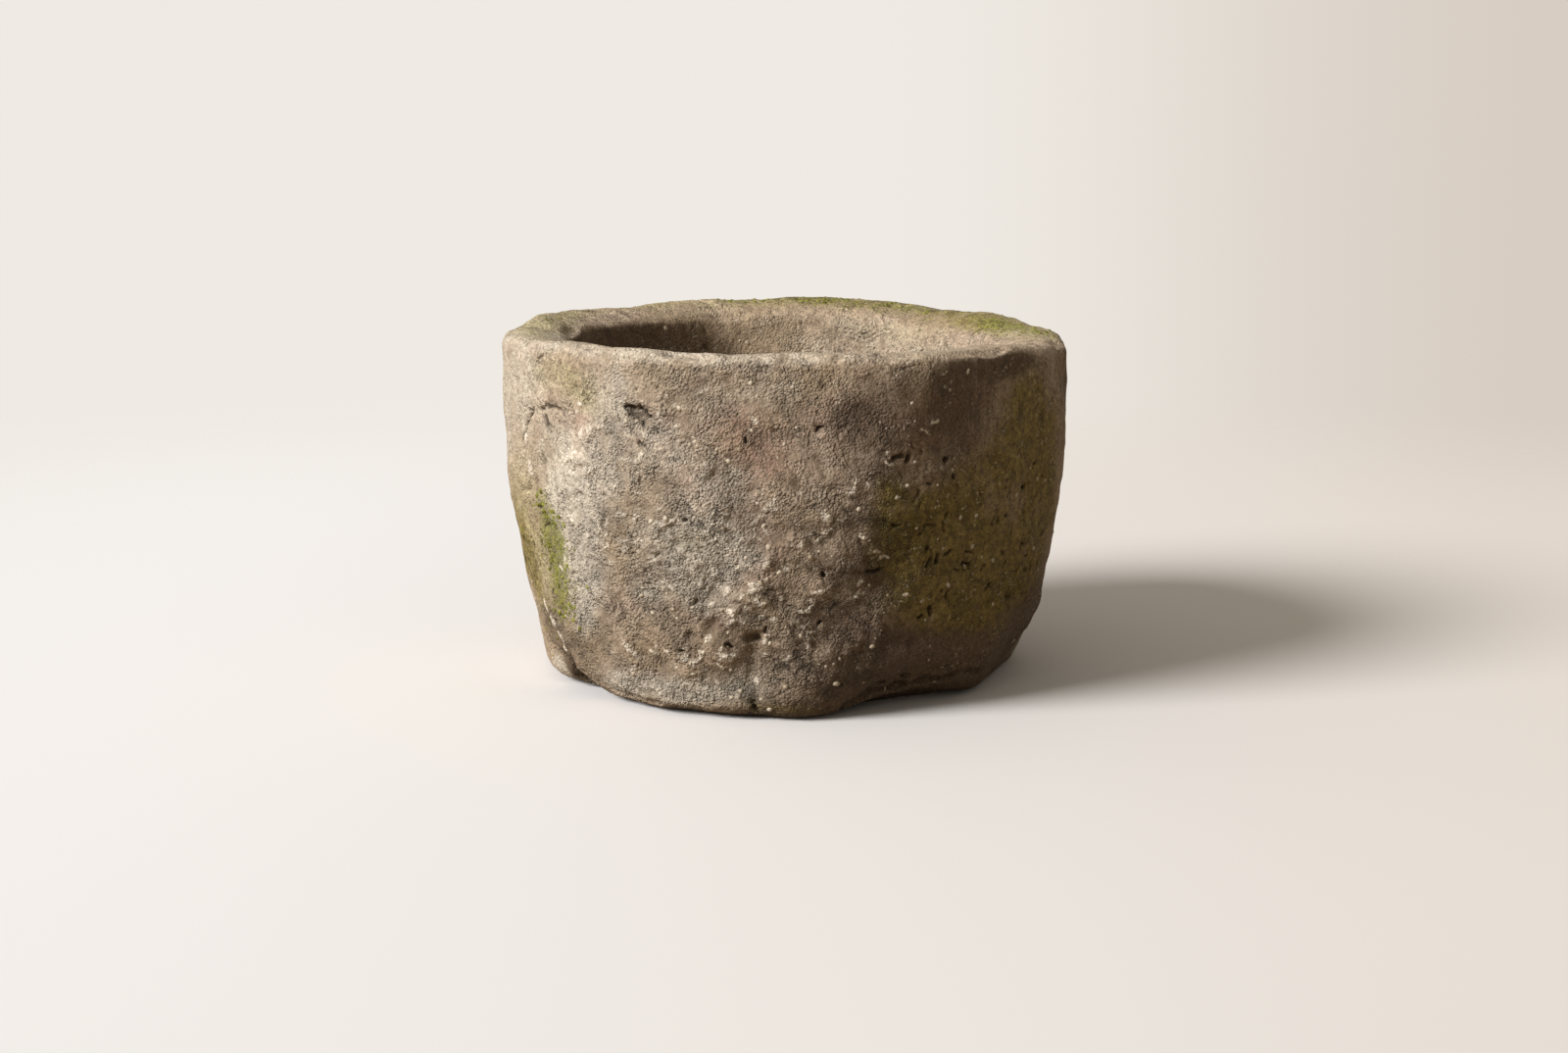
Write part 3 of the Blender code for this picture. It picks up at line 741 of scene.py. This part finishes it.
def carve(mesh, marks, rest):
    """Sinks the marks into the stone and raises the bruises, and keeps where they are, with the painted
    shade that the deeper marks hold.
    """
    points, _ = points_of(mesh)
    rest = shaken(rest)
    hollow_shade = np.zeros(len(points))
    bruise = np.zeros(len(points))
    for width, depth, line, way in marks:
        close = near_to(line, rest, width)
        middle = line.mean(axis=0)
        reach = np.linalg.norm(line - middle, axis=1).max() + width
        off = np.linalg.norm(rest[close] - middle, axis=1) / reach
        narrowed = width * (1 - TAPER * np.clip(off, 0, 1) ** 2)
        shape = np.clip(1 - (distance_to(line, rest[close]) / narrowed) ** 2, 0, 1) ** 1.5
        points[close] += depth * shape[:, None] * way
        if depth > 0:
            steep = np.clip(depth / width - GENTLE, 0, 1)
            hollow_shade[close] = np.maximum(hollow_shade[close], shape * steep)
        else:
            bruise[close] = np.maximum(bruise[close], shape)
    mesh.vertices.foreach_set("co", points.ravel())
    stored(mesh, "hollow_shade", hollow_shade)
    stored(mesh, "bruise", bruise)


def pressed_back(mesh):
    """Presses back what stands out of the block's outline at its sides and its lip."""
    points, _ = points_of(mesh)
    high = np.array(solid_box[1])
    points[:, 2] = np.maximum(points[:, 2], 0)
    room = (high - np.abs(points)) / SHOULDER
    points = np.sign(points) * (high - SHOULDER * np.logaddexp(0, room))
    mesh.vertices.foreach_set("co", points.ravel())
    mesh.update()


def held_inside(mesh):
    """Holds the few highest grains inside the block's own outline."""
    points, _ = points_of(mesh)
    low, high = (np.array(corner) for corner in solid_box)
    mesh.vertices.foreach_set("co", np.clip(points, low, high).ravel())
    mesh.update()


def linear(colour):
    """An sRGB hex colour as the linear one that a shader takes."""
    shares = [int(colour[place : place + 2], 16) / 255 for place in (0, 2, 4)]
    return (*[c / 12.92 if c <= 0.04045 else ((c + 0.055) / 1.055) ** 2.4 for c in shares], 1)


def blended(tree, pattern, low, high, first, second, most=1, kind=RANGE):
    """A colour that turns from the first to the second as a pattern goes from low to high, as far as
    most says. The two are hex colours or sockets, and high is the lower one where dips are tinted."""
    share = node(tree, kind, [pattern, low, high, 0, most])
    first, second = (linear(c) if isinstance(c, str) else c for c in (first, second))
    return node(tree, MIX, {0: share, 6: first, 7: second}, 2)


def stained(tree, colour, name, uneven, over, strength, low=0.15, high=0.85):
    """Lays one film over a colour, a weathered one, in some patches painted shade or light: a kept
    patch, broken up where the uneven noise is low.
    """
    cover = node(tree, KEPT, output="Fac", attribute_name=name)
    cover = node(tree, TIMES, [cover, uneven])
    return blended(tree, cover, low / 2, high / 2, colour, over, strength, SOFT_RANGE)


def finish(name):
    """A new material with its tree, its shader and the place on the piece that patterns start from."""
    material = bpy.data.materials.new(name)
    material.use_nodes = True
    tree = material.node_tree
    place = node(tree, "ShaderNodeTexCoord", output="Object")
    return material, tree, tree.nodes["Principled BSDF"], place


def weathered_sandstone():
    """Coarse sandstone, hewn and long weathered: brown grains with pale and dark ones, lime bloom on
    the worn parts, rosy iron stains, sooty dark runs, and a film of algae and moss in the damp. Painted
    shade lies in its cracks, pits and deep relief, under its ledges and in some of the sooty patches,
    and painted light on the bowl's lit wall and the tops of the relief."""
    material, tree, surface, place = finish("weathered_sandstone")
    upright = node(tree, "ShaderNodeMapping", {"Vector": place, "Scale": (1, 1, STREAK_STRETCH)})
    sloping = {"Vector": place, "Angle": BED_SLOPE}
    sloping = node(tree, "ShaderNodeVectorRotate", sloping, rotation_type="Y_AXIS")
    drawn_out = node(tree, VECTOR_TIMES, [sloping, (BED_STRETCH, 1, 1)])
    swayed = node(tree, NOISE, {"Vector": place, "Scale": 1 / SWAY_SIZE, "Detail": 2}, "Color")
    swayed = node(tree, VECTOR_TIMES_PLUS, [swayed, (SWAY,) * 3, place])

    broad = node(tree, NOISE, {"Vector": place, "Scale": 1 / TONE_SIZE, "Detail": 4})
    patchy = {"Vector": place, "Scale": 1 / PATCH_SIZE, "Detail": 5, "Roughness": 0.6}
    patchy = node(tree, NOISE, {**patchy, "Distortion": 0.4})
    mottle = node(
        tree, NOISE, {"Vector": place, "Scale": 1 / MOTTLE_SIZE, "Detail": 4, "Roughness": 0.68}
    )
    sand = node(tree, NOISE, {"Vector": place, "Scale": 1 / SAND_SIZE, "Detail": 3, "Roughness": 0.65})
    runs = node(
        tree, NOISE, {"Vector": upright, "Scale": 1 / STREAK_SIZE, "Detail": 5, "Roughness": 0.62}
    )
    layers = node(
        tree, NOISE, {"Vector": drawn_out, "Scale": 1 / LAYER_SIZE, "Detail": 2, "Roughness": 0.4}
    )
    hair = node(
        tree, NOISE, {"Vector": drawn_out, "Scale": 1 / HAIR_SIZE, "Detail": 1, "Roughness": 0.4}
    )
    grains = node(tree, CELLS, {"Vector": swayed, "Scale": 1 / GRAIN_SIZE})
    each = node(tree, CELLS, {"Vector": swayed, "Scale": 1 / GRAIN_SIZE}, "Color")
    each = node(tree, "ShaderNodeSeparateColor", [each])
    clusters = node(tree, CELLS, {"Vector": swayed, "Scale": 1 / CLUSTER_SIZE}, feature="SMOOTH_F1")
    grit = node(tree, KEPT, output="Fac", attribute_name="grit")
    worn = node(tree, MINUS, [1, grit])

    # Bare stone, then what has stained it from within and settled on it in dry places
    colour = blended(tree, broad, 0.38, 0.62, "aa967c", "bba791")
    colour = blended(tree, patchy, 0.50, 0.72, colour, "cab79e", 0.7)
    colour = blended(tree, patchy, 0.48, 0.30, colour, "887560", 0.6)
    colour = stained(tree, colour, "rose", mottle, "ae8a7a", 0.55)
    colour = stained(tree, colour, "lime", patchy, "d2c8b6", 0.85, 0.1, 0.95)
    lichen = blended(tree, mottle, 0.35, 0.65, "a09468", "c2b68a")
    colour = stained(tree, colour, "lichen", patchy, lichen, 0.75, 0.1, 0.9)
    share = node(tree, RANGE, [runs, 0.40, 0.66])
    share = node(tree, TIMES, [share, worn])
    share = node(tree, TIMES, [share, 0.16])
    colour = node(tree, MIX, {0: share, 6: colour, 7: linear("6e5c46")}, 2)
    speck = node(tree, RANGE, [mottle, 0.43, 0.30, 0, 0.55])
    speck = node(tree, TIMES, [speck, worn])
    colour = node(tree, MIX, {0: speck, 6: colour, 7: linear("5c4a36")}, 2)

    # Sooty stains, algae and moss, which rain and damp have left, and painted shade in the colour of
    # the sooty stains
    streaky = node(tree, "ShaderNodeMix", {0: 0.35, 2: patchy, 3: runs})
    colour = stained(tree, colour, "soot_and_shade", streaky, "483828", 0.78)
    algae = blended(tree, mottle, 0.35, 0.65, "5e5128", "8f7d42")
    colour = stained(tree, colour, "algae", patchy, algae, 0.85, 0.28, 0.95)
    moss = blended(tree, mottle, 0.36, 0.62, "5e5e2c", "8e8c4a")
    colour = stained(tree, colour, "moss", mottle, moss, 0.80, 0.1, 1.1)

    # Ledges of the beds with painted shadow at their feet, and hair cracks
    layered = node(tree, RANGE, [broad, 0.46, 0.60, 0.12, 0.85])
    ledges = 0
    for ledge in FLAKE_LEDGES:
        step = node(tree, RANGE, [layers, ledge, ledge + LEDGE_EDGE])
        ledges = node(tree, PLUS, [ledges, step])
        foot = node(
            tree, "ShaderNodeMath", [layers, ledge - LEDGE_FOOT, LEDGE_SHADOW_REACH], operation="COMPARE"
        )
        for uneven in (layered, mottle, 0.65):
            foot = node(tree, TIMES, [foot, uneven])
        colour = node(tree, MIX, {0: foot, 6: colour, 7: linear("5e4e3c")}, 2)
    hair = node(tree, MINUS, [hair, 0.5])
    hair = node(tree, "ShaderNodeMath", [hair], operation="ABSOLUTE")
    hair = node(tree, RANGE, [hair, 0.020, 0.005])
    broken = node(tree, RANGE, [patchy, 0.56, 0.64])
    hair = node(tree, TIMES, [hair, broken])
    share = node(tree, TIMES, [hair, 0.5])
    colour = node(tree, MIX, {0: share, 6: colour, 7: linear("3e3224")}, 2)

    # Pale and dark grains, and the crushed white of the bruises
    speckled = node(tree, RANGE, [patchy, 0.50, 0.66])
    share = node(tree, RANGE, [each, 0.90, 0.94, 0, 0.45])
    share = node(tree, TIMES, [share, speckled])
    colour = node(tree, MIX, {0: share, 6: colour, 7: linear("e0d2bc")}, 2)
    colour = blended(tree, each, 0.08, 0.05, colour, "4a3c2c", 0.35)
    colour = stained(tree, colour, "bruise", sand, "e2d5c0", 0.88, 0.12, 0.7)

    # Painted shade where the relief is deep and painted light where it stands high, and the sparkle of
    # single grains, strongest on smooth stone
    low = node(tree, KEPT, output="Fac", attribute_name="low")
    tone = node(tree, RANGE, [low, 0.2, 1.2, 1.14, 0.72])
    sandy = node(tree, RANGE, [sand, 0.28, 0.72, -0.30, 0.27])
    own = node(tree, RANGE, [each, 0, 1, -0.08, 0.08])
    sandy = node(tree, PLUS, [sandy, own])
    spread = node(tree, RANGE, [worn, 0, 1, 1, 1.4])
    sandy = node(tree, TIMES_PLUS, [sandy, spread, 1])
    tone = node(tree, TIMES, [tone, sandy])
    mottled = node(tree, RANGE, [mottle, 0.3, 0.7, 0.86, 1.12])
    tone = node(tree, TIMES, [tone, mottled])
    colour = node(tree, SCALED, {0: colour, "Scale": tone})
    # Painted shade in the carved cracks, slots and pits, darker the steeper they are
    dark = node(tree, KEPT, output="Fac", attribute_name="hollow_shade")
    colour = blended(tree, dark, 0.05, 0.7, colour, "2e2418", 0.8)

    # Relief too fine for the mesh: ledges, then lumps and hair cracks, then grains
    edges = node(tree, BUMP, {"Strength": layered, "Distance": LEDGE_HEIGHT, "Height": ledges})
    roughness = node(tree, RANGE, [grit, 0, 1, 0.55, 1])
    strength = node(tree, RANGE, [patchy, 0.38, 0.6, 0.3])
    strength = node(tree, TIMES, [strength, roughness])
    lumps = node(tree, TIMES_PLUS, [mottle, 0.9, clusters])
    lumps = node(tree, TIMES_PLUS, [hair, -0.5, lumps])
    coarse = {"Strength": strength, "Distance": LUMP_HEIGHT, "Height": lumps, "Normal": edges}
    coarse = node(tree, BUMP, coarse)
    round_grains = node(tree, MINUS, [sand, grains])
    fine = {"Strength": strength, "Distance": GRAIN_HEIGHT, "Height": round_grains, "Normal": coarse}
    fine = node(tree, BUMP, fine)
    dull = node(tree, RANGE, [mottle, 0.3, 0.7, 0.84, 0.97])
    tree.links.new(colour, surface.inputs["Base Color"])
    tree.links.new(fine, surface.inputs["Normal"])
    tree.links.new(dull, surface.inputs["Roughness"])
    surface.inputs["Specular IOR Level"].default_value = 0.25
    return material


stone = even_skin("stone_body_hewn", "stone_body")
stone_surface = BVHTree.FromObject(stone, bpy.context.evaluated_depsgraph_get())
stone_marks = placed_marks(stone_surface) + scattered_pits(stone.data)
cut_finer(stone.data, stone_marks)
keep_patches(stone.data)
stone_rest = points_of(stone.data)[0]
raised(stone.data)
stone.data.materials.clear()
run_tree(stone, relief_tree(weathered_sandstone()), RELIEF_SIZES)
carve(stone.data, stone_marks, stone_rest)
thinning = stone.modifiers.new("thinning", "DECIMATE")
thinning.ratio = SKIN_TRIANGLES / sum(len(p.vertices) - 2 for p in stone.data.polygons)
plain(stone)
pressed_back(stone.data)
held_inside(stone.data)
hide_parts("stone_body")
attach(stone, "root")

# Pale grit
# Quartz pebbles and chips of lime that stand out of the sandstone where its softer sand has gone.
# They are bedded in the stone, and only their tops show.

GRIT_SIZES = {
    "Most Each Square Metre": 6500.0, "Smallest": 0.0008, "Largest": 0.0046, "Bedding": 0.0004,
}
CLUMP_SIZE = 0.045  # grains lie in clumps about this far across
SQUATTEST, LONGEST = (0.7, 0.7, 0.35), (1.3, 1.1, 0.6)  # a grain's proportions lie between these
PEBBLE_TONE_SIZE = 0.012  # pebbles further apart than this differ in tone
DUST_SIZE = 0.002  # coarser than real dust, which is too fine to show


def scatter_tree(name, cover, grain_faces, material, seed):
    """Lays small round grains on a surface, as thick as a kept patch says, each turned its own way."""
    tree, inputs = geometry_tree(name, GRIT_SIZES)
    place = node(tree, "GeometryNodeInputPosition")
    clumps = node(tree, NOISE, {"Vector": place, "Scale": 1 / CLUMP_SIZE, "Detail": 3})
    clumps = node(tree, RANGE, [clumps, 0.42, 0.64])
    thick = node(tree, KEPT_VALUE, {"Name": cover})
    thick = node(tree, TIMES, [thick, clumps])
    thick = node(tree, TIMES, [thick, inputs["Most Each Square Metre"]])
    spread = {"Mesh": inputs["Geometry"], "Density": thick, "Seed": seed}
    spread = node(tree, "GeometryNodeDistributePointsOnFaces", spread, None, distribute_method="RANDOM")
    grain = node(tree, "GeometryNodeMeshIcoSphere", {"Radius": 1.0, "Subdivisions": grain_faces})
    size = node(tree, "FunctionNodeRandomValue", {"Seed": seed + 1}, 1)
    size = node(tree, "ShaderNodeMath", [size, 3], operation="POWER")
    size = node(tree, RANGE, [size, 0, 1, inputs["Smallest"], inputs["Largest"]])
    shape = {0: SQUATTEST, 1: LONGEST, "Seed": seed + 2}
    shape = node(tree, "FunctionNodeRandomValue", shape, data_type="FLOAT_VECTOR")
    size = node(tree, SCALED, {0: shape, "Scale": size})
    turn = {"Max": math.tau, "Seed": seed + 3}
    turn = node(tree, "FunctionNodeRandomValue", turn, "Value", data_type="FLOAT")
    turn = node(tree, "FunctionNodeAxisAngleToRotation", {"Axis": (0, 0, 1), "Angle": turn})
    turn = [spread["Rotation"], turn]
    turn = node(tree, "FunctionNodeRotateRotation", turn, rotation_space="LOCAL")
    bedding = node(tree, TIMES, [inputs["Bedding"], -1])
    sunk = node(tree, SCALED, {0: spread["Normal"], "Scale": bedding})
    points = node(tree, "GeometryNodeSetPosition", {"Geometry": spread["Points"], "Offset": sunk})
    laid = {"Points": points, "Instance": grain, "Rotation": turn, "Scale": size}
    laid = node(tree, "GeometryNodeInstanceOnPoints", laid)
    laid = node(tree, "GeometryNodeRealizeInstances", {"Geometry": laid})
    laid = node(tree, "GeometryNodeSetShadeSmooth", [laid])
    laid = node(tree, "GeometryNodeSetMaterial", {"Geometry": laid, "Material": material})
    node(tree, "NodeGroupOutput", [laid])
    return tree


def grown_over(name, tree, sizes):
    """A piece of grains laid over the finished stone."""
    piece = shown(name, stone.data.copy())
    run_tree(piece, tree, sizes)
    held_inside(piece.data)
    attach(piece, "root")


def pale_quartz():
    """Milky quartz and lime chips, dulled by dust: cream with a grey tinge, smoother than the sand."""
    material, tree, surface, place = finish("pale_quartz")
    each = node(tree, NOISE, {"Vector": place, "Scale": 1 / PEBBLE_TONE_SIZE, "Detail": 2})
    colour = blended(tree, each, 0.35, 0.62, "a8957c", "dacdb6")
    dust = node(tree, NOISE, {"Vector": place, "Scale": 1 / DUST_SIZE, "Detail": 3})
    level = node(tree, RANGE, [dust, 0.3, 0.7, 0.8, 1.1])
    colour = node(tree, SCALED, {0: colour, "Scale": level})
    relief = node(tree, BUMP, {"Strength": 0.5, "Distance": 0.001, "Height": dust})
    tree.links.new(colour, surface.inputs["Base Color"])
    tree.links.new(relief, surface.inputs["Normal"])
    surface.inputs["Roughness"].default_value = 0.62
    return material


grown_over("pale_grit", scatter_tree("pale_grit", "pebbles", 1, pale_quartz(), seed=21), GRIT_SIZES)

# Moss
# Small cushions of moss that have taken hold in the damp streak on the left, on the lip and low at the
# back. Each is a low tuft, soft and matt, grown fast to the grain of the stone.

MOSS_SIZES = {
    "Most Each Square Metre": 70000.0, "Smallest": 0.001, "Largest": 0.004, "Bedding": 0.0004,
}
TUFT_SIZE = 0.009
LEAF_SIZE = 0.0012  # real leaves are about half as wide, too fine to show


def cushion_moss():
    """Dry cushion moss: dull olive at its foot and yellow green at its tips, with no gloss at all."""
    material, tree, surface, place = finish("cushion_moss")
    tufts = node(tree, NOISE, {"Vector": place, "Scale": 1 / TUFT_SIZE, "Detail": 3})
    colour = blended(tree, tufts, 0.36, 0.64, "66662c", "a6a650")
    leaves = node(tree, NOISE, {"Vector": place, "Scale": 1 / LEAF_SIZE, "Detail": 2})
    level = node(tree, RANGE, [leaves, 0.3, 0.7, 0.65, 1.25])
    colour = node(tree, SCALED, {0: colour, "Scale": level})
    relief = node(tree, BUMP, {"Strength": 0.9, "Distance": 0.0015, "Height": leaves})
    tree.links.new(colour, surface.inputs["Base Color"])
    tree.links.new(relief, surface.inputs["Normal"])
    surface.inputs["Roughness"].default_value = 0.95
    surface.inputs["Specular IOR Level"].default_value = 0.15
    return material


grown_over("moss_tufts", scatter_tree("moss_tufts", "moss", 2, cushion_moss(), seed=51), MOSS_SIZES)

# Studio
# A pale floor that runs into a pale backdrop, one large soft light from the upper left and a little
# light from all round, and the camera at the photograph's viewing angle.

FLOOR_REACH = 8.0  # from the planter to each edge of the floor
FLOOR_SHADE = (-1.3, 1.5)  # the floor darkens a little from here on the left to here on the right
FLOOR_END = (1.1, 3.4)  # distances from the planter between which the floor gives way to the backdrop
BACKDROP_SHADE = (0.03, 0.30)  # the backdrop darkens between these directions, sideways
FILL_LEVELS = (0.46, 0.22)  # light from all round, on the left and on the right
KEY_LEVEL = 3.7
KEY_SPREAD = 26  # degrees across: the wider, the softer the shadow's edge
KEY_WAY = (0.75, 0.43, -0.50)  # the way its light goes: from the upper left, a little from the front
LENS = 57.19  # millimetres, on a sensor of 36 mm
CAMERA_PLACE = (-0.0014, -3.3695, 0.783)
CAMERA_TILT = 80.07  # degrees from looking straight down: 90 is level


def seen_directly(tree):
    """1 where the camera sees a surface, straight, in a gloss or through glass, and 0 in its light."""
    path = node(tree, "ShaderNodeLightPath", output=None)
    seen = node(tree, PLUS, [path["Is Camera Ray"], path["Is Glossy Ray"]], use_clamp=True)
    return node(tree, PLUS, [seen, path["Is Transmission Ray"]], use_clamp=True)


def pale_paper():
    """Matt pale paper: near the planter it takes light and shade, far off the backdrop takes over."""
    material = bpy.data.materials.new("pale_paper")
    material.use_nodes = True
    tree = material.node_tree
    tree.nodes.clear()
    place = node(tree, "ShaderNodeTexCoord", output="Object")
    away = node(tree, "ShaderNodeVectorMath", [place], "Value", operation="LENGTH")
    across = node(tree, "ShaderNodeSeparateXYZ", [place], "X")
    pale = blended(tree, across, *FLOOR_SHADE, "ffffff", "eee7e0", kind=SOFT_RANGE)
    seen = seen_directly(tree)
    toned = node(tree, MIX, {0: seen, 6: linear("8a7862"), 7: pale}, 2)
    paper = node(tree, "ShaderNodeBsdfDiffuse", {"Color": toned})
    clear = node(tree, "ShaderNodeBsdfTransparent")
    share = node(tree, SOFT_RANGE, [away, *FLOOR_END])
    share = node(tree, TIMES, [share, seen])
    paper = node(tree, "ShaderNodeMixShader", [share, paper, clear])
    node(tree, "ShaderNodeOutputMaterial", [paper])
    return material


floor_mesh = bpy.data.meshes.new("floor")
corners = [(x * FLOOR_REACH, y * FLOOR_REACH, 0) for x, y in ((-1, -1), (1, -1), (1, 1), (-1, 1))]
floor_mesh.from_pydata(corners, [], [(0, 1, 2, 3)])
floor_mesh.materials.append(pale_paper())
shown("floor", floor_mesh)

world = bpy.data.worlds.new("studio")
bpy.context.scene.world = world
world.use_nodes = True
room = world.node_tree
room.nodes.clear()
direction = node(room, "ShaderNodeTexCoord", output="Generated")
sideways = node(room, "ShaderNodeSeparateXYZ", [direction], "X")
backdrop = blended(room, sideways, *BACKDROP_SHADE, "efeae3", "d7cdc3", kind=SOFT_RANGE)
backdrop = node(room, "ShaderNodeBackground", {"Color": backdrop, "Strength": 1})
level = node(room, RANGE, [sideways, -0.8, 0.8, *FILL_LEVELS])
fill = node(room, "ShaderNodeBackground", {"Color": linear("f9f0e1"), "Strength": level})
studio = node(room, "ShaderNodeMixShader", [seen_directly(room), fill, backdrop])
node(room, "ShaderNodeOutputWorld", [studio])

key_lamp = bpy.data.lights.new("key", "SUN")
key_lamp.energy = KEY_LEVEL
key_lamp.angle = math.radians(KEY_SPREAD)
key_lamp.color = (1.0, 0.99, 1.0)
key = shown("key", key_lamp)
key.rotation_mode = "QUATERNION"
key.rotation_quaternion = Vector(KEY_WAY).to_track_quat("-Z", "Y")

lens = bpy.data.cameras.new("camera")
lens.sensor_width = 36.0
lens.lens = LENS
camera = shown("camera", lens)
camera.location = CAMERA_PLACE
camera.rotation_euler = (math.radians(CAMERA_TILT), 0, 0)
bpy.context.scene.camera = camera
bpy.context.scene.view_settings.view_transform = "Standard"
